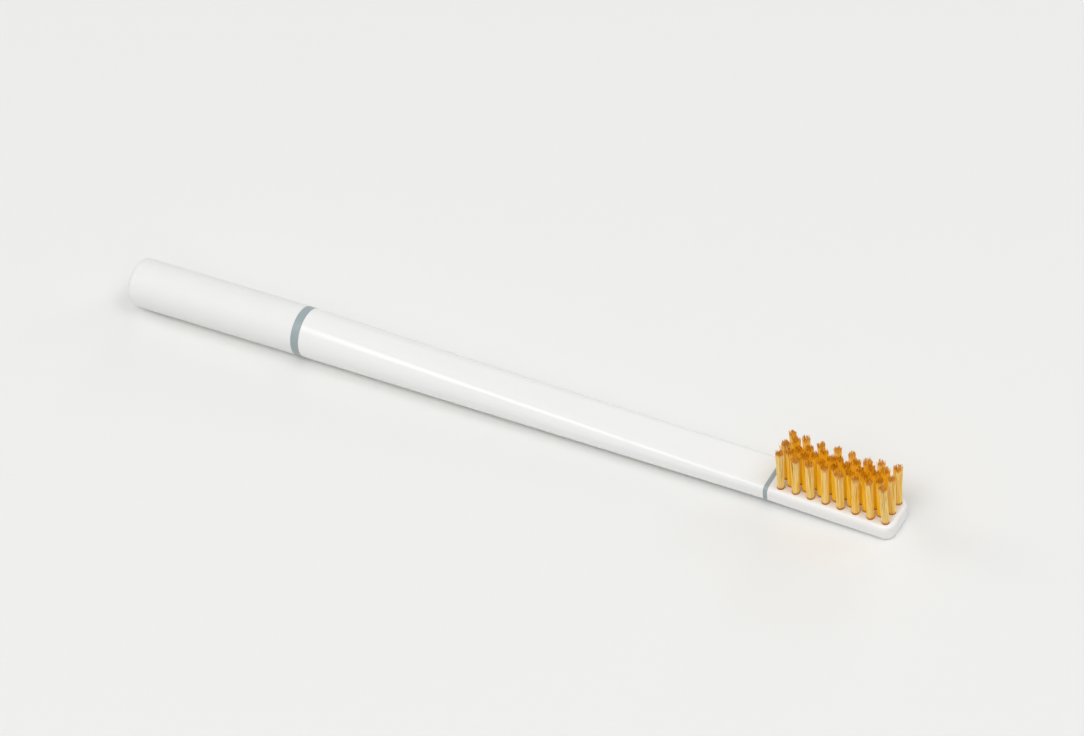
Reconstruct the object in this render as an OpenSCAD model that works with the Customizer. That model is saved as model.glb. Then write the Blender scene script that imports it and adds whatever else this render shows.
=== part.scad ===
// Toothbrush with natural bristles: a round butt, a grey band, a handle that
// flattens into the neck, a second grey band, and a slim head with 38 tufts.
// Millimetres. X runs from the butt to the tip, bristles point up along Z.
// The brush lies on Z = 0, touching it under the butt and under the tip.

/* [Grip] */
// Diameter of the butt, the rear band and the thick end of the handle
grip_d = 10.7; // [9:0.1:13]
// Length of the satin butt
butt_len = 40.9; // [25:0.1:60]
// Radius of the rounded edge at the butt's end
butt_edge_r = 1.4; // [0.6:0.1:3.5]
// Length of the handle between the two bands
handle_len = 109.1; // [80:0.1:130]
// How much sooner the handle thins than it would on a straight taper
handle_flatten = 0.15; // [0:0.01:0.18]

/* [Bands] */
// Width of the rear band, along the brush
rear_band_w = 1.9; // [1:0.1:4]
// Width of the front band, along the brush
front_band_w = 1; // [0.6:0.1:2.5]

/* [Joints inside] */
// Diameter of the spigot that carries the rear band and the butt
spigot_d = 6.4; // [4:0.1:7.5]
// How far the spigot reaches into the butt
spigot_grip = 9; // [4:0.1:16]
// Width of the head's tenon
tenon_w = 5.6; // [3:0.1:6.4]
// Thickness of the head's tenon
tenon_h = 1.8; // [1.2:0.1:2.2]
// How far the tenon reaches into the neck
tenon_grip = 6; // [3:0.1:9]
// Corner radius of the tenon
tenon_r = 0.4; // [0.2:0.05:0.55]
// Clearance on each side of the spigot and the tenon
joint_fit = 0.05; // [0.03:0.01:0.15]

/* [Head] */
// Angle by which the band and the head dip towards the tip, in degrees
head_dip = 2.6; // [0:0.1:5]
// Radius of the long edges of the neck and the head
edge_r = 1.3; // [0.6:0.05:1.6]
// Radius of the tip's corners seen from above
tip_corner_r = 2.4; // [1.6:0.1:4]
// Radius of the tip's upper and lower edge
tip_edge_r = 0.9; // [0.3:0.1:1.4]
// Plastic left under the tuft holes
hole_floor = 1.3; // [0.8:0.1:2.5]
// Plastic outside the outer rows, up to the side of the head
side_margin = 1.07; // [0.8:0.01:2.5]
// From the front band to the centre of the first tuft
field_start = 2.3; // [1.8:0.1:6]
// From the centre of the last tuft to the tip
tip_margin = 1.95; // [1.5:0.05:5]

/* [Tufts] */
// Tufts in each long row; the rows between have one fewer
long_row = 8; // [4:1:8]
// Distance between tufts of one row
tuft_pitch = 3.36; // [3:0.02:3.8]
// Distance between rows
row_gap = 1.48; // [1.44:0.02:1.8]
// Diameter of a tuft hole
hole_d = 1.64; // [1.4:0.02:1.8]
// Depth of a tuft hole
hole_depth = 2.6; // [2.2:0.1:3.4]
// Clearance on each side of a tuft in its hole
tuft_fit = 0.02; // [0.01:0.01:0.06]
// Height of the middle tufts above the head
tuft_h = 9.8; // [7:0.1:13]
// How much taller the tufts at both ends of the head are
end_rise = 0.6; // [0:0.1:1.5]
// How far the tip of a tuft spreads beyond its foot, all round
tuft_spread = 0.2; // [0:0.02:0.3]
// Depth of the grooves between the strands on a tuft
strand_groove = 0.09; // [0.02:0.01:0.14]
// Height of the ragged points on the tip of a tuft
tip_ragged = 0.5; // [0.1:0.05:0.8]

/* [Anchors] */
// Thickness of the metal anchor plates
anchor_t = 0.25; // [0.15:0.01:0.35]
// Height of the anchor plates
anchor_h = 1.1; // [0.8:0.05:1.4]
// How far an anchor bites into the plastic on each side of its hole
anchor_bite = 0.2; // [0.1:0.01:0.3]
// Bristle folded under an anchor
anchor_lift = 0.35; // [0.2:0.05:0.6]
// Clearance of the bristle round an anchor
anchor_fit = 0.02; // [0.01:0.01:0.05]

/* [Hidden] */
// Rows across the head, numbered from the near side
ROWS = 5;
// Sides of the handle's loft and number of its sections
LOFT_SIDES = 48;
LOFT_SECTIONS = 25;
// Strands on a tuft; each gets a crest and a groove
STRANDS = 9;
// Share of its height over which a tuft opens into strands, and its spread by then
OPENING = 0.25;
OPENING_SPREAD = 0.3;
// Radius of the ragged rim, as a share of the tip's
CROWN = 0.93;
// Degrees that turn each tuft by its row and place, and vary the points of its rim
ROW_TURN = 47;
PLACE_TURN = 31;
RIM_TURN = 137;
// How far cutters and spigots pass a face that they start or end on
OVER = 1;
// Smoothness of the true round surfaces
$fn = 96;

grip_r = grip_d / 2;
head_w = (ROWS - 1) * row_gap + hole_d + 2 * side_margin;
head_h = hole_depth + hole_floor;
field_len = (long_row - 1) * tuft_pitch;
head_len = field_start + field_len + tip_margin;
neck_len = front_band_w + head_len;

// The underside of the tip touches Z = 0, so the dip sets the neck's height
dip_s = sin(head_dip);
dip_c = cos(head_dip);
neck_z = (neck_len - tip_edge_r) * dip_s + tip_edge_r * (1 - dip_c);

// Places along X, measured from the middle of the brush
dipped_len = (neck_len - tip_edge_r) * dip_c + tip_edge_r + (head_h - tip_edge_r) * dip_s;
total_len = butt_len + rear_band_w + handle_len + dipped_len;
butt_x = -total_len / 2;
band_x = butt_x + butt_len;
handle_x = band_x + rear_band_w;
neck_x = handle_x + handle_len;

function row_count(row) = row % 2 == 0 ? long_row : long_row - 1;
function tuft_name(row, col) = str("tuft_", chr(ord("a") + row), col + 1);
// Tuft centres, from the front band's front face and the middle of the head
function tuft_x(row, col) = field_start + (col + (row % 2) / 2) * tuft_pitch;
function tuft_y(row) = (row - (ROWS - 1) / 2) * row_gap;
// 0 at the middle of the field and 1 at its ends
function end_share(x) = pow(2 * (x - field_start) / field_len - 1, 2);

TUFTS = [for (row = [0 : ROWS - 1]) for (col = [0 : row_count(row) - 1]) [row, col]];

// A square corner less its round, to be cut from a corner at the origin
module corner_cutter(r) {
    difference() {
        square(r + OVER);
        circle(r);
    }
}

// Rectangle with round corners about the origin
module round_rect(w, h, r) {
    difference() {
        square([w, h], center = true);
        for (sx = [-1, 1], sy = [-1, 1])
            scale([sx, sy]) translate([w / 2 - r, h / 2 - r]) corner_cutter(r);
    }
}

// Turns a shape drawn in XY and extruded along Z to run along +X, Y across
module along_x() {
    rotate([90, 0, 90]) children();
}

// Frame of the neck: X from the neck's end face, Z from the underside
module neck_frame() {
    translate([neck_x, 0, neck_z]) rotate([0, head_dip, 0]) children();
}

// Satin butt with a rounded end and a blind bore for the spigot
module butt() {
    color("whitesmoke")
    translate([butt_x, 0, grip_r]) rotate([0, 90, 0])
    difference() {
        rotate_extrude() difference() {
            square([grip_r, butt_len]);
            translate([grip_r - butt_edge_r, butt_edge_r]) scale([1, -1]) corner_cutter(butt_edge_r);
        }
        translate([0, 0, butt_len - spigot_grip - joint_fit])
            cylinder(d = spigot_d + 2 * joint_fit, h = spigot_grip + joint_fit + OVER);
    }
}

// Grey band threaded on the spigot
module rear_band() {
    color("lightslategray")
    translate([band_x, 0, grip_r]) rotate([0, 90, 0])
    difference() {
        cylinder(r = grip_r, h = rear_band_w);
        translate([0, 0, -OVER]) cylinder(d = spigot_d + 2 * joint_fit, h = rear_band_w + 2 * OVER);
    }
}

// Cross-section points [y, z] of a w by h rectangle with corners of radius r
function section(w, h, r) = [
    for (i = [0 : LOFT_SIDES - 1])
    let (a = (i + 0.5) * 360 / LOFT_SIDES, q = floor(a / 90))
    [(q == 0 || q == 3 ? 1 : -1) * (w / 2 - r) + r * cos(a),
     (q < 2 ? 1 : -1) * (h / 2 - r) + r * sin(a)]];

function mix(a, b, u) = a + (b - a) * u;
// Height and section at share u of the handle, from the round grip to the flat neck
function handle_height(u) = mix(grip_d, head_h, u + handle_flatten * u * (1 - u));
function handle_section(u) =
    section(mix(grip_d, head_w, u), handle_height(u), mix(grip_r, edge_r, u));
// Place of section point p: its underside and its lean go over to those of the neck
function handle_point(u, p) =
    let (z = p[1] + handle_height(u) / 2)
    [handle_x + u * handle_len + z * u * dip_s, p[0], u * neck_z + z * mix(1, dip_c, u)];

// Quads between neighbouring rings of n points, and the two end faces
function skin(n, rings) = concat(
    [[for (i = [0 : n - 1]) i]],
    [for (k = [0 : rings - 2]) for (i = [0 : n - 1])
        [k * n + i, (k + 1) * n + i, (k + 1) * n + (i + 1) % n, k * n + (i + 1) % n]],
    [[for (i = [n - 1 : -1 : 0]) (rings - 1) * n + i]]);

// Glossy handle: a loft with the spigot behind and a mortise in the neck
module handle() {
    shares = [for (k = [0 : LOFT_SECTIONS - 1]) k / (LOFT_SECTIONS - 1)];
    points = [for (u = shares) for (p = handle_section(u)) handle_point(u, p)];
    color("white")
    difference() {
        union() {
            polyhedron(points, skin(LOFT_SIDES, LOFT_SECTIONS));
            translate([band_x - spigot_grip, 0, grip_r]) rotate([0, 90, 0])
                cylinder(d = spigot_d, h = spigot_grip + rear_band_w + OVER);
        }
        neck_frame() translate([-tenon_grip - joint_fit, 0, head_h / 2]) along_x()
            linear_extrude(tenon_grip + joint_fit + OVER)
            round_rect(tenon_w + 2 * joint_fit, tenon_h + 2 * joint_fit, tenon_r + joint_fit);
    }
}

// Grey band threaded on the tenon
module front_band() {
    color("lightslategray")
    neck_frame() translate([0, 0, head_h / 2]) along_x()
    linear_extrude(front_band_w) difference() {
        round_rect(head_w, head_h, edge_r);
        round_rect(tenon_w + 2 * joint_fit, tenon_h + 2 * joint_fit, tenon_r + joint_fit);
    }
}

// Places its children at the foot of tuft [row, col], on the hole's floor
module at_tuft(row, col) {
    neck_frame() translate([front_band_w + tuft_x(row, col), tuft_y(row), hole_floor]) children();
}

// One anchor plate, standing in its hole along the head
module anchor(fit) {
    translate([-hole_d / 2 - anchor_bite - fit, -anchor_t / 2 - fit, anchor_lift - fit])
        cube([hole_d + 2 * anchor_bite + 2 * fit, anchor_t + 2 * fit, anchor_h + 2 * fit]);
}

// White head with its tenon, the tuft holes and the bites of the anchors
module head() {
    color("white")
    difference() {
        neck_frame() union() {
            translate([front_band_w, 0, 0]) difference() {
                translate([0, 0, head_h / 2]) along_x() linear_extrude(head_len)
                    round_rect(head_w, head_h, edge_r);
                for (side = [-1, 1])
                    scale([1, side, 1])
                    translate([head_len - tip_corner_r, head_w / 2 - tip_corner_r, -OVER])
                    linear_extrude(head_h + 2 * OVER) corner_cutter(tip_corner_r);
                for (up = [0, 1])
                    translate([head_len - tip_edge_r, 0, up ? head_h - tip_edge_r : tip_edge_r])
                    rotate([90, 0, 0]) translate([0, 0, -head_w / 2 - OVER])
                    linear_extrude(head_w + 2 * OVER)
                    scale([1, up ? 1 : -1]) corner_cutter(tip_edge_r);
            }
            translate([-tenon_grip, 0, head_h / 2]) along_x()
                linear_extrude(tenon_grip + front_band_w + OVER)
                round_rect(tenon_w, tenon_h, tenon_r);
        }
        for (t = TUFTS) at_tuft(t[0], t[1]) {
            cylinder(d = hole_d, h = hole_depth + OVER);
            anchor(0);
        }
    }
}

// The anchor plates, one in each tuft hole
module anchors() {
    color("goldenrod")
    for (t = TUFTS) at_tuft(t[0], t[1]) anchor(0);
}

// Tuft of bristle: round in its hole, then strands that spread to a ragged tip
module tuft(row, col) {
    n = 2 * STRANDS;
    foot_r = hole_d / 2 - tuft_fit;
    top = hole_depth + tuft_h + end_rise * end_share(tuft_x(row, col));
    turn = ROW_TURN * row + PLACE_TURN * col;
    // Height, groove depth and radius of each ring
    rings = [
        [0, 0, foot_r],
        [hole_depth, 0, foot_r],
        [hole_depth + OPENING * tuft_h, strand_groove, foot_r + OPENING_SPREAD * tuft_spread],
        [top - 2 * tip_ragged, strand_groove, foot_r + tuft_spread]];
    body = [for (g = rings) for (i = [0 : n - 1])
        let (a = turn + i * 360 / n, r = g[2] - (i % 2) * g[1]) [r * cos(a), r * sin(a), g[0]]];
    crown = [for (i = [0 : n - 1])
        let (a = turn + i * 360 / n,
             r = CROWN * (foot_r + tuft_spread) - (i % 2) * strand_groove,
             z = top - tip_ragged * (1 + sin(RIM_TURN * i + turn)) / 2)
        [r * cos(a), r * sin(a), z]];
    last = len(rings) * n;
    sides = skin(n, len(rings) + 1);
    color("goldenrod")
    at_tuft(row, col) difference() {
        polyhedron(
            concat(body, crown, [[0, 0, top - tip_ragged]]),
            concat([for (k = [0 : len(sides) - 2]) sides[k]],
                [for (i = [0 : n - 1]) [last + (i + 1) % n, last + i, last + n]]));
        anchor(anchor_fit);
    }
}

butt();
rear_band();
handle();
front_band();
head();
anchors();
for (t = TUFTS)
    tuft(t[0], t[1]);
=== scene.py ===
# A white toothbrush with natural bristles, lying on its back. Everything is in metres.
# X runs from the butt to the tip, and the bristles point up along Z.
import math

import bmesh
import bpy
import numpy as np
from mathutils import Matrix, Vector
from mathutils.geometry import delaunay_2d_cdt


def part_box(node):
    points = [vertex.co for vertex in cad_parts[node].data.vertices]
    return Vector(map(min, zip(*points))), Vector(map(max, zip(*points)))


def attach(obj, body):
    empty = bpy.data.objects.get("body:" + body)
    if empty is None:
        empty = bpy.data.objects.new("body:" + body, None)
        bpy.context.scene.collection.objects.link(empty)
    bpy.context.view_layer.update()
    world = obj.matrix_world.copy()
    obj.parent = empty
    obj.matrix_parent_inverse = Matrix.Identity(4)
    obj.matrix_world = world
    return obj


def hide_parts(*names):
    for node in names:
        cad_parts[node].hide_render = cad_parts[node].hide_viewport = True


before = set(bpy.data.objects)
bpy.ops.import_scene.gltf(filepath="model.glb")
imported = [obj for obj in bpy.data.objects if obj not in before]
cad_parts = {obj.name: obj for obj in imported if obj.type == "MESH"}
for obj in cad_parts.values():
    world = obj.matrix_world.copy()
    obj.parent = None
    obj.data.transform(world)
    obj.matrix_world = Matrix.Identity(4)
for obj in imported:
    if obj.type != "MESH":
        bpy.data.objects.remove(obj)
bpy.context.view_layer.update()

# Butt: the rear part of the grip, a moulding in satin white plastic. Its end is flat with
# a rounded edge, and a blind bore in front is pushed onto the handle's spigot.

MM = 0.001
FULL_TURN = 2 * math.pi
AROUND = 192
SHARP = math.radians(50)
POLE_RING = 0.3
ring_turn = (np.arange(AROUND) + 0.5) * FULL_TURN / AROUND
butt_low, butt_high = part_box("butt")
grip_r = (butt_high[1] - butt_low[1]) / 2
butt_start, butt_end = butt_low[0], butt_high[0]
butt_edge_r = 1.4 * MM
bore_r = 3.25 * MM
spigot_grip = 9.0 * MM
bevel = 0.04 * MM
hold = 0.06 * MM  # from a bevel to the ring beside it that keeps the shading level


def arc(start, end, steps):
    """Angles in radians from start to end, given in degrees and both included."""
    return np.radians(np.linspace(start, end, steps))


def revolve(profile):
    """Rings of points: each (x, r) of the profile turned about the grip's axis, at height grip_r."""
    x, r = np.array(profile).T
    rings = np.empty((len(x), AROUND, 3))
    rings[..., 0] = x[:, None]
    rings[..., 1] = r[:, None] * np.cos(ring_turn)
    rings[..., 2] = grip_r + r[:, None] * np.sin(ring_turn)
    return rings


def ring_quads(count, around, closed=False):
    """Quads between each ring and the next, all round; closed joins the last ring to the first."""
    ring = np.arange(count if closed else count - 1)[:, None] * around
    place = np.arange(around)
    after = (place + 1) % around
    ahead = (ring + around) % (count * around)
    return np.stack([ring + place, ring + after, ahead + after, ahead + place], -1).reshape(-1, 4)


def solid(rings, open_start=False):
    """Points and faces of a skin over rings. Both ends are closed, or only the last: by the end's own
    ring drawn in to POLE_RING of its size, and a fan of triangles from there to a pole in the middle."""
    poles = rings[[0, -1]].mean(1)
    drawn_in = poles[:, None] + POLE_RING * (rings[[0, -1]] - poles[:, None])
    rings = np.concatenate([rings, drawn_in[1:]] if open_start else [drawn_in[:1], rings, drawn_in[1:]])
    count, around = rings.shape[:2]
    place = np.arange(around)
    after = (place + 1) % around
    last = (count - 1) * around
    rear = np.stack([np.full(around, count * around), after, place], -1)
    front = np.stack([np.full(around, count * around + 1), last + place, last + after], -1)
    fans = front.tolist() if open_start else rear.tolist() + front.tolist()
    return np.concatenate([rings.reshape(-1, 3), poles]), ring_quads(count, around).tolist() + fans


def shade(mesh):
    """Smooth shading that breaks at edges sharper than SHARP."""
    mesh.shade_smooth()
    mesh.set_sharp_from_angle(angle=SHARP)


def add_piece(name, points, faces, slot, node, material):
    """A smooth mesh object that rides on the brush and stands for a node of the model."""
    mesh = bpy.data.meshes.new(name)
    mesh.from_pydata(np.asarray(points).tolist(), [], faces)
    shade(mesh)
    mesh.materials.append(material)
    piece = bpy.data.objects.new(name, mesh)
    bpy.context.scene.collection.objects.link(piece)
    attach(piece, "root")
    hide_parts(node)
    return piece


class Wire:
    """One output in a material's nodes. Arithmetic on wires adds the Math nodes for it."""

    def __init__(self, paint, socket):
        self.paint, self.socket = paint, socket

    def __add__(self, other):
        return self.paint.maths("ADD", self, other)

    def __radd__(self, other):
        return self.paint.maths("ADD", other, self)

    def __sub__(self, other):
        return self.paint.maths("SUBTRACT", self, other)

    def __rsub__(self, other):
        return self.paint.maths("SUBTRACT", other, self)

    def __mul__(self, other):
        return self.paint.maths("MULTIPLY", self, other)

    def __rmul__(self, other):
        return self.paint.maths("MULTIPLY", other, self)

    def __pow__(self, other):
        return self.paint.maths("POWER", self, other)


class Paint:
    """A material under construction around its Principled shader. Sockets that are the same all over are
    given by name, with _ for a space."""

    def __init__(self, name, **constants):
        self.material = bpy.data.materials.new(name)
        self.material.use_nodes = True
        self.tree = self.material.node_tree
        self.shader = self.tree.nodes["Principled BSDF"]
        for socket, value in constants.items():
            self.shader.inputs[socket.replace("_", " ")].default_value = value

    def node(self, kind, settings, inputs, output):
        """Adds a node, sets its own options first and then its sockets, and returns one output."""
        made = self.tree.nodes.new(kind)
        for option, value in settings.items():
            setattr(made, option, value)
        for key, value in inputs.items():
            self.put(made.inputs[key], value)
        return Wire(self, made.outputs[output])

    def put(self, socket, value):
        """Sets a socket to a value, or links a wire to it."""
        if isinstance(value, Wire):
            self.tree.links.new(value.socket, socket)
        else:
            socket.default_value = value

    def feed(self, socket, value):
        """Sets or links a socket of the shader."""
        self.put(self.shader.inputs[socket], value)

    def maths(self, operation, first, second):
        """One Math node."""
        return self.node("ShaderNodeMath", {"operation": operation}, {0: first, 1: second}, 0)

    def place(self):
        """The place on the piece, in object space."""
        return self.node("ShaderNodeTexCoord", {}, {}, "Object")

    def along(self, axis):
        """The place along the axis X, Y or Z."""
        return self.node("ShaderNodeSeparateXYZ", {}, {"Vector": self.place()}, axis)

    def noise(self, scale, detail, stretch=(1, 1, 1)):
        """Soft noise about 0.5, scale waves to a metre; stretch first scales the place along each axis."""
        place = self.node("ShaderNodeMapping", {}, {"Vector": self.place(), "Scale": stretch}, "Vector")
        return self.node("ShaderNodeTexNoise", {}, {"Vector": place, "Scale": scale, "Detail": detail}, "Fac")

    def blend(self, share, first, second):
        """Colour between two colours by a share from 0 to 1."""
        return self.node("ShaderNodeMix", {"data_type": "RGBA"}, {0: share, 6: first, 7: second}, 2)

    def share(self, value, low, high):
        """0 up to low, 1 from high on, and in a straight line between."""
        sizes = {"Value": value, "From Min": low, "From Max": high}
        return self.node("ShaderNodeMapRange", {"clamp": True}, sizes, "Result")

    def relief(self, height, depth):
        """Bumps of a given depth in metres, from a height of 0 to 1."""
        self.feed("Normal", self.node("ShaderNodeBump", {}, {"Height": height, "Distance": depth}, "Normal"))


def satin_white():
    """White plastic from a blasted mould: a fine even grain and a broad soft sheen."""
    paint = Paint("satin_white", IOR=1.49)
    cloud = paint.noise(scale=160, detail=3)
    grain = paint.noise(scale=9000, detail=2)
    paint.feed("Base Color", paint.blend(cloud, (0.815, 0.815, 0.806, 1), (0.845, 0.845, 0.835, 1)))
    paint.feed("Roughness", 0.55 + 0.08 * grain + 0.05 * cloud)
    paint.relief(grain, depth=0.004 * MM)
    return paint.material


rounded = arc(180, 90, 21)
edge_x = butt_start + butt_edge_r * (1 + np.cos(rounded))
edge_y = grip_r - butt_edge_r * (1 - np.sin(rounded))
barrel = np.linspace(butt_start + butt_edge_r + hold, butt_end - bevel - hold, 24)
butt_profile = np.concatenate([
    [(butt_start, grip_r - butt_edge_r - hold)],
    np.stack([edge_x, edge_y], -1),
    np.stack([barrel, np.full_like(barrel, grip_r)], -1),
    [(butt_end - bevel, grip_r), (butt_end, grip_r - bevel), (butt_end, bore_r),
     (butt_end - spigot_grip, bore_r)]])
add_piece("butt_moulding", *solid(revolve(butt_profile)), "satin_white", "butt", satin_white())

# Rear band: a ring of blue-grey plastic, threaded on the spigot between butt and handle.
# It lies flush with both, with a hairline bevel at each joint.

rear_band_low, rear_band_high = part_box("rear_band")
band_start, band_end = rear_band_low[0], rear_band_high[0]


def hoop(rings):
    """Points and faces of a skin over rings whose last one joins the first."""
    count, around = rings.shape[:2]
    return rings.reshape(-1, 3), ring_quads(count, around, closed=True).tolist()


def band_face(start, end):
    """Steps (x, inset) over a band's outside: in by the bevel at both ends and level between them."""
    rise = [(start, bevel), (start + bevel, 0), (start + bevel + hold, 0)]
    return rise + [(start + end - x, inset) for x, inset in rise[::-1]]


def grey_plastic():
    """Blue-grey plastic with a satin face and slightly cloudy colour."""
    paint = Paint("grey_band", IOR=1.48)
    cloud = paint.noise(scale=420, detail=3)
    grain = paint.noise(scale=8000, detail=1)
    paint.feed("Base Color", paint.blend(cloud, (0.300, 0.360, 0.378, 1), (0.345, 0.408, 0.422, 1)))
    paint.feed("Roughness", 0.34 + 0.10 * grain)
    paint.relief(grain, depth=0.003 * MM)
    return paint.material


grey_band = grey_plastic()
rear_band_profile = [(x, grip_r - inset) for x, inset in band_face(band_start, band_end)]
rear_band_profile += [(band_end, bore_r), (band_start, bore_r)]
add_piece("rear_band_ring", *hoop(revolve(rear_band_profile)), "grey_band", "rear_band", grey_band)

# Handle: one long moulding in polished white plastic, round at the rear band and a flat
# rounded bar at the neck. It has a spigot behind, and a mortise in front for the head's tenon.

front_band_low, front_band_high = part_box("front_band")
head_dip = math.radians(2.6)
front_band_w = 1.0 * MM
neck_x = front_band_low[0]
neck_z = front_band_low[2] + front_band_w * math.sin(head_dip)
neck_w = front_band_high[1] - front_band_low[1]
neck_h = 3.9 * MM
edge_r = 1.3 * MM
handle_len = neck_x - band_end
handle_flatten = 0.15
dull_len = 25 * MM
joint_fit = 0.05 * MM
spigot_r = bore_r - joint_fit
mortise_w, mortise_h, mortise_r = 5.7 * MM, 1.9 * MM, 0.45 * MM
tenon_grip = 6.0 * MM


def bar_section(width, height, corner):
    """Points (y, z) of upright rectangles with round corners about their middles, one row for each size:
    a circle of the corner's radius, whose quarters are moved out to the rectangle's corners."""
    width, height, corner = (np.asarray(size, float)[..., None] for size in (width, height, corner))
    y = np.sign(np.cos(ring_turn)) * (width / 2 - corner) + corner * np.cos(ring_turn)
    z = np.sign(np.sin(ring_turn)) * (height / 2 - corner) + corner * np.sin(ring_turn)
    return y, z


def bar_ring(x, width, height, corner):
    """One ring of a bar section at distance x, about the middle of the neck's height."""
    y, z = bar_section(width, height, corner)
    return np.stack([np.full_like(y, x), y, neck_h / 2 + z], -1)


def in_neck_frame(points):
    """From the neck's own frame (X from its end face, Z from its underside) to the brush: turned down
    by head_dip about Y, and moved to the neck's end."""
    x, y, z = np.moveaxis(np.asarray(points), -1, 0)
    along, down = math.cos(head_dip), math.sin(head_dip)
    return np.stack([neck_x + x * along + z * down, y, neck_z - x * down + z * along], -1)


def outer_ring(x, inset):
    """The neck's own outline at distance x from its end face, pulled in all round by an inset."""
    return in_neck_frame(bar_ring(x, neck_w - 2 * inset, neck_h - 2 * inset, edge_r - inset))


def mortise_ring(x):
    """The mortise's outline at distance x from the neck's end face."""
    return in_neck_frame(bar_ring(x, mortise_w, mortise_h, mortise_r))


def handle_skin(shares):
    """Rings at shares 0 to 1 of the handle: width, height and corner go over from the round grip to
    the neck in a straight line, the height a little sooner, while the plane leans over to the neck's."""
    sooner = shares + handle_flatten * shares * (1 - shares)
    width = 2 * grip_r + (neck_w - 2 * grip_r) * shares
    height = 2 * grip_r + (neck_h - 2 * grip_r) * sooner
    y, z = bar_section(width, height, grip_r + (edge_r - grip_r) * shares)
    share = shares[:, None]
    z = z + height[:, None] / 2
    x = band_end + share * handle_len + z * share * math.sin(head_dip)
    return np.stack([x, y, share * neck_z + z * (1 + share * (math.cos(head_dip) - 1))], -1)


def gloss_white():
    """Polished white plastic: a clear reflection that wavers a little, with faint handling haze,
    and duller next to the rear band, fading out over dull_len."""
    paint = Paint("gloss_white", IOR=1.50)
    cloud = paint.noise(scale=90, detail=3)
    haze = paint.noise(scale=700, detail=4, stretch=(0.4, 1, 1))
    paint.feed("Base Color", paint.blend(cloud, (0.850, 0.850, 0.838, 1), (0.875, 0.875, 0.863, 1)))
    dull = 1 - paint.share(paint.along("X"), band_end, band_end + dull_len)
    paint.feed("Roughness", 0.05 + 0.05 * haze + 0.16 * dull)
    paint.relief(paint.noise(scale=260, detail=2, stretch=(0.2, 1, 1)), depth=0.0003 * MM)
    return paint.material


bevel_share = bevel / handle_len
hold_share = (bevel + hold) / handle_len
skin_shares = np.linspace(hold_share, 1 - hold_share, 220)
handle_shares = np.concatenate([[bevel_share], skin_shares, [1 - bevel_share]])
handle_rings = np.concatenate([
    revolve([(butt_end - spigot_grip, spigot_r), (band_end, spigot_r), (band_end, grip_r - bevel)]),
    handle_skin(handle_shares),
    [outer_ring(0, bevel), mortise_ring(0), mortise_ring(-tenon_grip)]])
add_piece("handle_moulding", *solid(handle_rings), "gloss_white", "handle", gloss_white())

# Front band: a narrow ring of the same blue-grey plastic, threaded on the head's tenon.
# It has the outline of the neck, and the same bevels as the rear band.

front_band_rings = [outer_ring(x, inset) for x, inset in band_face(0, front_band_w)]
front_band_rings += [mortise_ring(front_band_w), mortise_ring(0)]
add_piece("front_band_ring", *hoop(np.array(front_band_rings)), "grey_band", "front_band", grey_band)

# Head: a slim white moulding with softly rounded edges and a rounded tip, a tenon behind,
# and 38 drilled tuft holes in five staggered rows, each with a broken edge.

tip_corner_r = 2.4 * MM
tip_edge_r = 0.9 * MM
hole_r = 0.82 * MM
hole_rim = 0.06 * MM
hole_depth = 2.6 * MM
tuft_pitch = 3.36 * MM
row_gap = 1.48 * MM
field_start = 2.3 * MM
tip_margin = 1.95 * MM
LONG_ROW = 8
ROWS = 5
HOLE_SIDES = 40
RIM_STEPS = 5
TOP_STEPS = 6
field_len = (LONG_ROW - 1) * tuft_pitch
head_len = field_start + field_len + tip_margin
TUFTS = [(row, col) for row in range(ROWS) for col in range(LONG_ROW - row % 2)]


def tuft_place(row, col):
    """Place of a tuft's middle along the head, from its rear face, and across it: odd rows are one
    tuft shorter and stand half a pitch further on."""
    return np.array([field_start + (col + row % 2 / 2) * tuft_pitch, (row - (ROWS - 1) / 2) * row_gap])


def head_outline():
    """The head from above, along one side, round the tip's two corners and back along the other:
    places (x, y), outward directions, and a share that goes from 0 on the sides to 1 at the tip."""
    straight = head_len - tip_corner_r
    corner = arc(-90, 0, 25)
    side = np.linspace(0, straight, 90)[:-1]
    half = neck_w / 2 - tip_corner_r
    tip = np.linspace(-half, half, 9)[1:-1]
    x = np.concatenate([side, straight + tip_corner_r * np.cos(corner)])
    y = np.concatenate([np.full(side.size, -neck_w / 2), -half + tip_corner_r * np.sin(corner)])
    sideways = np.tile((0.0, -1.0), (side.size, 1))
    forward = np.tile((1.0, 0.0), (tip.size, 1))
    out = np.concatenate([sideways, np.stack([np.cos(corner), np.sin(corner)], -1)])
    front = np.clip((x - straight) / tip_corner_r, 0, 1)
    tip_places = np.stack([np.full(tip.size, head_len), tip], -1)
    places = np.concatenate([np.stack([x, y], -1), tip_places, np.stack([x, -y], -1)[::-1]])
    outward = np.concatenate([out, forward, (out * (1, -1))[::-1]])
    return places, outward, np.concatenate([front, np.ones(tip.size), front[::-1]])


def head_wall():
    """The head's side as a grid from the top face down to the underside: the outline pulled in along
    a quarter circle at both edges, whose radius goes over from the sides' to the tip's."""
    places, outward, front = head_outline()
    radius = (edge_r + (tip_edge_r - edge_r) * front)[:, None]
    fall = arc(90, 0, 13)
    pull = radius * (1 - np.cos(fall))
    lift = neck_h - radius * (1 - np.sin(fall))
    pull = np.concatenate([pull, pull[:, ::-1]], 1)[..., None]
    lift = np.concatenate([lift, neck_h - lift[:, ::-1]], 1)[..., None]
    return np.concatenate([places[:, None] - outward[:, None] * pull, lift], -1)


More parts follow.
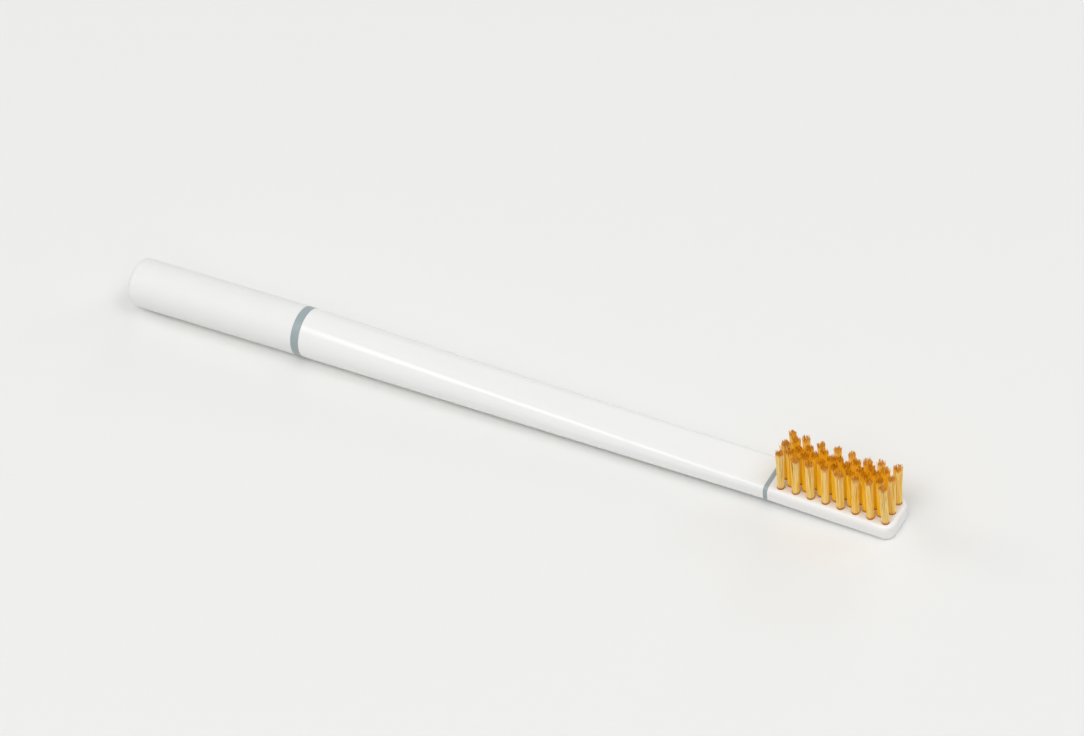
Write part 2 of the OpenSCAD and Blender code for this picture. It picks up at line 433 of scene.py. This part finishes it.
def top_height(places):
    """Height of the head's upper face at places (x, y): flat, and falling along the edge's quarter
    circle where a place is nearer to the outline than its radius."""
    edge, outward, front = head_outline()
    near = np.linalg.norm(places[:, None] - edge, axis=-1).argmin(1)
    radius = edge_r + (tip_edge_r - edge_r) * front[near]
    within = ((edge[near] - places) * outward[near]).sum(-1)
    past = (radius - within).clip(0, radius)
    return neck_h - radius + np.sqrt(radius ** 2 - past ** 2)


def tuft_hole(row, col):
    """Rings of a tuft hole: a quarter circle in from the upper face for the broken edge, the top of the
    wall, and the floor."""
    fall = arc(90, 0, RIM_STEPS)
    radius = np.append(hole_r + hole_rim * (1 - np.cos(fall)), [hole_r, hole_r])[:, None]
    turn = np.arange(HOLE_SIDES) * FULL_TURN / HOLE_SIDES
    x, y = tuft_place(row, col)
    rings = np.empty((len(radius), HOLE_SIDES, 3))
    rings[..., 0] = x + radius * np.cos(turn)
    rings[..., 1] = y + radius * np.sin(turn)
    rings[:RIM_STEPS, :, 2] = top_height(rings[0, :, :2]) - hole_rim * (1 - np.sin(fall))[:, None]
    rings[RIM_STEPS:, :, 2] = neck_h - np.array([[4 * hole_rim], [hole_depth]])
    return rings


def face_between(edge, holes, loose, axes):
    """Points and triangles between a closed edge and the closed edges of holes, by way of loose points:
    a constrained Delaunay triangulation in two of the axes, less what lies in the holes."""
    loops = [edge, *holes]
    points = np.concatenate([*loops, loose])
    sizes = [len(loop) for loop in loops]
    starts = np.cumsum([0, *sizes])
    turns = [np.stack([np.arange(size), np.roll(np.arange(size), -1)], -1) for size in sizes]
    lines = np.concatenate([start + turn for start, turn in zip(starts, turns)])
    places = [Vector(place) for place in points[:, axes] / MM]
    made = delaunay_2d_cdt(places, lines.tolist(), [], 1, 1e-6)
    given = np.array([numbers[0] for numbers in made[3]])
    triangles = given[np.array(made[2])]
    owner = np.append(np.repeat(np.arange(len(loops)), sizes), np.zeros(len(loose), int))[triangles]
    in_hole = (owner[:, 0] > 0) & (owner[:, 0] == owner[:, 1]) & (owner[:, 1] == owner[:, 2])
    return points, triangles[~in_hole].tolist()


def drilled_top(wall, holes):
    """The upper face with the first TOP_STEPS of the wall's grid, between the holes' edges. Points of the
    grid that a hole would swallow are left out."""
    edge = np.concatenate([wall[:, TOP_STEPS], wall[-1, :TOP_STEPS][::-1], wall[0, :TOP_STEPS]])
    loose = wall[1:-1, :TOP_STEPS].reshape(-1, 3)
    middles = np.array([tuft_place(*tuft) for tuft in TUFTS])
    room = np.linalg.norm(loose[:, None, :2] - middles, axis=-1).min(1)
    loose = loose[room > hole_r + 1.5 * hole_rim]
    return face_between(edge, [rings[0] for rings in holes], loose, [0, 1])


def lower_shell(wall):
    """The rest of the wall's grid as quads, and the underside as one face on its last points."""
    low = wall[:, TOP_STEPS:]
    along, down = low.shape[:2]
    corner = (np.arange(along - 1)[:, None] * down + np.arange(down - 1)).reshape(-1, 1)
    underside = np.arange(along) * down + down - 1
    return low.reshape(-1, 3), (corner + (0, down, down + 1, 1)).tolist() + [underside.tolist()]


def head_mesh():
    """The head as loose patches that meet point on point: the drilled top, the side and the underside,
    the rear face, the tenon and the tuft holes. X counts from the head's rear face."""
    wall = head_wall()
    holes = [tuft_hole(*tuft) for tuft in TUFTS]
    tenon = mortise_w - 2 * joint_fit, mortise_h - 2 * joint_fit, mortise_r - joint_fit
    tenon_rings = np.array([bar_ring(x, *tenon) for x in (0, -front_band_w - tenon_grip)])
    rear_edge = np.concatenate([wall[0], wall[-1, ::-1]])
    patches = [drilled_top(wall, holes), lower_shell(wall)]
    patches.append(face_between(rear_edge, [tenon_rings[0]], np.empty((0, 3)), [1, 2]))
    patches += [solid(rings, open_start=True) for rings in [tenon_rings, *holes]]
    starts = np.cumsum([0] + [len(points) for points, _ in patches])
    faces = [[start + number for number in face]
             for start, (_, part) in zip(starts, patches) for face in part]
    points = np.concatenate([points for points, _ in patches])
    return in_neck_frame(points + (front_band_w, 0, 0)), faces


def weld(mesh):
    """Joins the points of patches that meet, drops unused ones and turns every face outwards."""
    work = bmesh.new()
    work.from_mesh(mesh)
    bmesh.ops.remove_doubles(work, verts=work.verts, dist=0.001 * MM)
    bmesh.ops.delete(work, geom=[vert for vert in work.verts if not vert.link_faces], context="VERTS")
    bmesh.ops.recalc_face_normals(work, faces=work.faces)
    work.to_mesh(mesh)
    work.free()


def head_white():
    """White plastic with a soft shine, warmed a little by the bristles that are set in it."""
    paint = Paint("head_white", IOR=1.49)
    cloud = paint.noise(scale=120, detail=1)
    paint.feed("Base Color", paint.blend(cloud, (0.856, 0.854, 0.848, 1), (0.870, 0.868, 0.860, 1)))
    paint.feed("Roughness", 0.21 + 0.03 * paint.noise(scale=300, detail=1))
    return paint.material


head = add_piece("head_moulding", *head_mesh(), "head_white", "head", head_white())
weld(head.data)
shade(head.data)
even = head.modifiers.new("even_shading", "WEIGHTED_NORMAL")
even.keep_sharp = True

# Anchors: small brass plates that are driven into the holes over the folded bristle.
# They are out of sight and stay as they are in the model.


def anchor_brass():
    """Cut brass strip, drawn along its length."""
    paint = Paint("anchor_brass", Metallic=1.0)
    drawn = paint.noise(scale=3000, detail=2, stretch=(0.05, 1, 1))
    paint.feed("Base Color", paint.blend(drawn, (0.78, 0.56, 0.26, 1), (0.88, 0.67, 0.36, 1)))
    paint.feed("Roughness", 0.28 + 0.18 * drawn)
    return paint.material


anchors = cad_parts["anchors"].data
anchors.materials.clear()
anchors.materials.append(anchor_brass())

# Tufts: natural bristle, pale straw outside, with amber painted within as the shade of other tufts. Every
# strand is folded under its anchor, comes up on both sides of it and spreads a little to a ragged
# brown-flecked tip.

tuft_h = 9.8 * MM
end_rise = 0.6 * MM
strand_r = 0.078 * MM
strand_gap = 0.168 * MM
anchor_side = 0.125 * MM
anchor_top = 1.15 * MM
anchor_base = 2.25 * MM
strand_bow = 0.035 * MM
strand_splay = 0.12 * MM
stray_splay = 0.5 * MM
crowd_reach = 1.9 * MM
tuft_lean = 0.018
clump_pull = 0.12
worn_share = 0.10
stray_share = 0.012
CLUMPS = 5
STRAND_SIDES = 5
rise_steps = np.array([0, 0.04, 0.14, 0.28, 0.43, 0.58, 0.72, 0.84, 0.93, 1])
rng = np.random.default_rng(38)


def packed_half(radius, gap):
    """Places (x, y) with y above 0 in a half disc, on half circles from its edge inwards."""
    circles = np.arange(radius, 0, -gap)
    counts = np.round(math.pi * circles / gap).astype(int).clip(1)
    turn = np.concatenate([(np.arange(count) + 0.5) * math.pi / count for count in counts])
    circles = np.repeat(circles, counts)
    return circles * np.cos(turn), circles * np.sin(turn)


def clump_places():
    """Places (x, y) on a loose ring about a tuft's axis, towards which its tips draw together."""
    turn = rng.uniform(0, FULL_TURN) + np.arange(CLUMPS) * FULL_TURN / CLUMPS + rng.normal(0, 0.25, CLUMPS)
    return np.stack([np.cos(turn), np.sin(turn)], -1) * rng.uniform(0.45, 0.68, (CLUMPS, 1)) * hole_r


def upper_lines(foot, tip, clumps, top, flare, lean):
    """Middle lines of strands above the head, from their feet (x, y): straight to the tips, drawn a
    little to the nearest clump, plus a bow by half a sine wave, a splay by the cube of the rise, and
    the tuft's lean. Heights are ragged, some strands are worn shorter and a few stray."""
    count = len(foot)
    nearest = clumps[np.linalg.norm(tip[:, None] - clumps, axis=-1).argmin(1)]
    tip = tip + clump_pull * (nearest - tip)
    bow = rng.normal(0, strand_bow, (count, 2))
    splay = flare * foot + rng.normal(0, strand_splay, (count, 2))
    height = top + rng.normal(-0.10 * MM, 0.30 * MM, count).clip(-0.8 * MM, 0.35 * MM)
    worn = rng.random(count) < worn_share
    height -= worn * rng.uniform(0.125 * MM, 0.625 * MM, count)
    stray = rng.random(count) < stray_share
    splay += stray[:, None] * rng.normal(0, stray_splay, (count, 2))
    up = height[:, None] * rise_steps
    share = rise_steps[:, None]
    flat = foot[:, None] + (tip - foot)[:, None] * share + bow[:, None] * np.sin(np.pi * share)
    flat = flat + splay[:, None] * share ** 3 + lean * up[..., None]
    return np.concatenate([flat, up[..., None]], -1)


def lower_lines(x, y, side):
    """The same strands within their hole, at the anchor's base and top: the half disc pushed out from
    the middle to clear the plate, and narrowed across where it would leave the round hole."""
    room = hole_r - strand_r
    pushed = anchor_side + strand_r + y * (1 - (anchor_side + 2 * strand_r) / hole_r)
    widest = np.sqrt((room ** 2 - y ** 2).clip((0.001 * MM) ** 2))
    narrow = (np.sqrt(room ** 2 - pushed ** 2) / widest).clip(0, 1)
    lines = np.empty((x.size, 2, 3))
    lines[..., 0] = (x * narrow)[:, None]
    lines[..., 1] = side * pushed[:, None]
    lines[..., 2] = -anchor_base, -anchor_top
    return lines


def strand_paths(row, col):
    """Middle lines of a tuft's strands about its axis, with Z from the head's top face: from one tip
    down beside the anchor, under it and up again to the other tip, as (strand, point, xyz). The outer
    strands fold deepest, and a fold has three points: its bottom, and on both sides a shoulder at 0.8 of
    the way out and 0.85 of the way down. Also gives the tuft's height, which grows with the square of
    the distance from the field's middle."""
    x, y = packed_half(hole_r - strand_r, strand_gap)
    from_middle = 2 * (tuft_place(row, col)[0] - field_start) / field_len - 1
    top = tuft_h + end_rise * from_middle ** 2
    spread = rng.uniform(0.84, 1.08)
    flare = rng.uniform(0, 0.22)
    lean = rng.normal(0, tuft_lean, 2)
    clumps = clump_places() * spread
    legs = []
    for side in (1, -1):
        foot = np.stack([x, side * y], -1)
        above = upper_lines(foot, foot * spread, clumps, top, flare, lean)
        legs.append(np.concatenate([lower_lines(x, y, side), above], 1))
    fold = -anchor_base - strand_r - (hole_depth - anchor_base - 2 * strand_r) * y / hole_r
    under = np.stack([legs[0][:, 0], legs[0][:, 0], legs[1][:, 0]], 1)
    under[..., 1] *= 0.8, 0, 0.8
    under[..., 2] += (fold[:, None] - under[..., 2]) * (0.85, 1, 0.85)
    return np.concatenate([legs[0][:, ::-1], under, legs[1]], 1), top


def tubes(paths):
    """Points and faces of tubes along middle lines (strand, point, xyz), thinner at both ends and capped
    there. Each ring stands across its line, on the part of X that is square to the line and on the cross
    product of the two."""
    strands, steps = paths.shape[:2]
    run = np.gradient(paths, axis=1)
    run /= np.linalg.norm(run, axis=-1, keepdims=True)
    side = np.array([1.0, 0, 0]) - run * run[..., :1]
    side /= np.linalg.norm(side, axis=-1, keepdims=True)
    other = np.cross(run, side)
    turn = np.arange(STRAND_SIDES)[:, None] * FULL_TURN / STRAND_SIDES
    thick = strand_r * rng.uniform(0.85, 1.08, (strands, 1, 1, 1)) * np.ones((1, steps, 1, 1))
    thick[:, [0, -1]] *= 0.55
    across = side[:, :, None] * np.cos(turn) + other[:, :, None] * np.sin(turn)
    points = (paths[:, :, None] + thick * across).reshape(-1, 3)
    start = np.arange(strands)[:, None] * steps * STRAND_SIDES
    quads = (ring_quads(steps, STRAND_SIDES) + start[:, None]).reshape(-1, 4)
    first = start + np.arange(STRAND_SIDES)[::-1]
    last = start + (steps - 1) * STRAND_SIDES + np.arange(STRAND_SIDES)
    return points, quads.tolist() + first.tolist() + last.tolist()


def tuft_mesh(row, col):
    """Points and faces of a tuft, and for each point its rise, how much other tufts crowd it, and a
    number for its strand. The crowd is the sum over the other tufts of a bell curve of their distance,
    taken from halfway between the tuft's axis and the point."""
    paths, top = strand_paths(row, col)
    points, faces = tubes(paths)
    place = tuft_place(row, col)
    others = np.array([tuft_place(*tuft) for tuft in TUFTS if tuft != (row, col)]) - place
    away = np.linalg.norm(0.5 * points[:, None, :2] - others, axis=-1)
    crowd = np.exp(-(away / crowd_reach) ** 2).sum(1)
    number = np.repeat(rng.random(len(paths)), len(points) // len(paths))
    carried = {"rise": points[:, 2] / top, "crowd": crowd, "strand": number}
    return in_neck_frame(points + (front_band_w, 0, neck_h) + np.append(place, 0)), faces, carried


def bristle():
    """Boiled hog bristle: straw, with amber painted in as shade where light only comes through other tufts.
    A painted shade makes it reddish where it enters the head. It has darker tips, painted darker still where
    other tufts shade them, and brown flecks below them. A faint emission is painted light that comes
    through, more of it in the rear rows."""
    paint = Paint("bristle", IOR=1.54, Roughness=0.45, Specular_IOR_Level=0.06, Emission_Strength=0.155)

    def carried(name):
        """A number that the points of the strands carry."""
        return paint.node("ShaderNodeAttribute", {"attribute_name": name}, {}, "Fac")

    rise, crowd, strand = carried("rise"), carried("crowd"), carried("strand")
    lengthwise = paint.noise(scale=3400, detail=1, stretch=(1, 1, 0.04))
    streak = paint.share(lengthwise + 0.3 * strand, 0.42, 0.88)
    # painted shade: this share grows where other tufts crowd a strand, less so towards the tips; it turns the
    # strand amber, darkens its tip and strengthens its glow
    painted_shade = paint.share(crowd - 0.5 * streak, 0.05 + 0.75 * rise ** 2, 0.88)
    straw = paint.blend(streak, (0.95, 0.55, 0.10, 1), (1.00, 0.83, 0.38, 1))
    # painted amber: the colour that stands for light coming only through other tufts
    painted_amber = paint.blend(streak, (0.94, 0.46, 0.008, 1), (1.00, 0.70, 0.065, 1))
    # the tip's own brown, painted darker where other tufts shade it
    brown = paint.blend(painted_shade, (0.68, 0.25, 0.004, 1), (0.58, 0.17, 0.003, 1))
    tip = paint.share(rise + 0.07 * strand, 0.965, 1.035)
    flecks = paint.share(paint.noise(scale=2600, detail=2), 0.58, 0.66) * paint.share(rise, 0.90, 0.98)
    # painted shade: dark reddish brown at the foot, where the strands enter the head
    foot = 1 - paint.share(rise, 0.012, 0.060)
    colour = paint.blend(tip, paint.blend(painted_shade, straw, painted_amber), brown)
    colour = paint.blend(0.75 * flecks, colour, (0.20, 0.070, 0.010, 1))
    colour = paint.blend(0.9 * foot, colour, (0.50, 0.10, 0.010, 1))
    paint.feed("Base Color", colour)

    behind = paint.share(paint.along("Y"), -0.5 * MM, 3.0 * MM)
    front_glow = paint.blend(painted_shade, (0.07, 0.05, 0.006, 1), (0.58, 0.44, 0.004, 1))
    front_glow = paint.blend(paint.share(rise, 0.75, 1.0), front_glow, (0.16, 0.08, 0.001, 1))
    back_glow = paint.blend(painted_shade, (0.42, 0.38, 0.05, 1), (0.94, 0.80, 0.008, 1))
    back_glow = paint.blend(paint.share(rise, 0.85, 1.0), back_glow, (0.40, 0.29, 0.008, 1))
    paint.feed("Emission Color", paint.blend(behind, front_glow, back_glow))
    return paint.material


bristle_material = bristle()
for row, col in TUFTS:
    node = f"tuft_{'abcde'[row]}{col + 1}"
    points, faces, carried = tuft_mesh(row, col)
    tuft = add_piece(node + "_strands", points, faces, "bristle", node, bristle_material)
    for name, values in carried.items():
        tuft.data.attributes.new(name, "FLOAT", "POINT").data.foreach_set("value", values)

# Set: a plain pale floor, ten soft lamps in a dome about the brush, the strongest in front and on the
# right, and even white light around. The front left lamp's reflection is the streak on the handle.

floor_reach = 3.0
lamp_distance = 3.0
floor_mesh = bpy.data.meshes.new("floor")
floor_corners = [(x * floor_reach, y * floor_reach, 0) for x, y in ((-1, -1), (1, -1), (1, 1), (-1, 1))]
floor_mesh.from_pydata(floor_corners, [], [(0, 1, 2, 3)])
floor = bpy.data.objects.new("floor", floor_mesh)
bpy.context.scene.collection.objects.link(floor)
paper = Paint("paper", Base_Color=(0.84, 0.84, 0.825, 1), Roughness=0.9)
floor_mesh.materials.append(paper.material)

world = bpy.data.worlds.new("studio")
bpy.context.scene.world = world
world.use_nodes = True
sky = world.node_tree
sky.nodes["Background"].inputs["Color"].default_value = (1, 1, 1, 1)
rays = sky.nodes.new("ShaderNodeLightPath")
seen = rays.outputs["Is Camera Ray"]
for ray in ("Is Glossy Ray", "Is Transmission Ray"):
    larger = sky.nodes.new("ShaderNodeMath")
    larger.operation = "MAXIMUM"
    sky.links.new(seen, larger.inputs[0])
    sky.links.new(rays.outputs[ray], larger.inputs[1])
    seen = larger.outputs[0]
strength = sky.nodes.new("ShaderNodeMapRange")
strength.inputs["To Min"].default_value = 0.255
strength.inputs["To Max"].default_value = 0.85
sky.links.new(seen, strength.inputs["Value"])
sky.links.new(strength.outputs["Result"], sky.nodes["Background"].inputs["Strength"])


def add_lamp(name, direction, size, level):
    """A round soft lamp that looks at the brush. Its energy is the level, which is the light that it
    adds on a white sheet facing it, times the square of pi times the distance."""
    data = bpy.data.lights.new(name, "AREA")
    data.shape = "DISK"
    data.size = size
    data.energy = level * (math.pi * lamp_distance) ** 2
    lamp = bpy.data.objects.new(name, data)
    lamp.location = Vector(direction).normalized() * lamp_distance
    lamp.rotation_euler = Vector(direction).to_track_quat("Z", "Y").to_euler()
    bpy.context.scene.collection.objects.link(lamp)


add_lamp("front", (0.00, -0.50, 0.87), size=1.4, level=0.237)
add_lamp("front_right", (0.50, -0.50, 0.70), size=3.2, level=0.178)
add_lamp("right", (0.50, 0.00, 0.87), size=1.4, level=0.190)
add_lamp("back_right", (0.50, 0.50, 0.70), size=2.0, level=0.079)
add_lamp("low_back_right", (0.65, 0.65, 0.38), size=1.2, level=0.065)
add_lamp("low_back", (0.00, 0.92, 0.38), size=1.2, level=0.090)
add_lamp("low_left", (-0.92, 0.00, 0.38), size=1.2, level=0.079)
add_lamp("left", (-0.80, 0.00, 0.60), size=2.0, level=0.088)
add_lamp("low_front", (-0.12, -0.71, 0.69), size=1.4, level=0.075)
add_lamp("front_left", (-0.405, -0.460, 0.790), size=1.1, level=0.098)

# Camera: a long lens from the right front and above, rolled a little. The angles are in radians.

turn, lift, roll = 0.5993, 0.7737, -0.1557
aim = Vector((0.28 * MM, 13.41 * MM, 0))
camera_distance = 1.2
back = Vector((math.sin(turn) * math.cos(lift), -math.cos(turn) * math.cos(lift), math.sin(lift)))
level = Vector((0, 0, 1)).cross(back).normalized()
upright = back.cross(level)
right = math.cos(roll) * level + math.sin(roll) * upright
up = math.cos(roll) * upright - math.sin(roll) * level
camera_data = bpy.data.cameras.new("camera")
camera_data.sensor_fit = "HORIZONTAL"
camera_data.sensor_width = 36
camera_data.lens = 189.86
camera_data.clip_start = 0.05
camera = bpy.data.objects.new("camera", camera_data)
facing = Matrix((right, up, back)).transposed().to_4x4()
camera.matrix_world = Matrix.Translation(aim + camera_distance * back) @ facing
bpy.context.scene.collection.objects.link(camera)
bpy.context.scene.camera = camera
bpy.context.scene.view_settings.view_transform = "Standard"
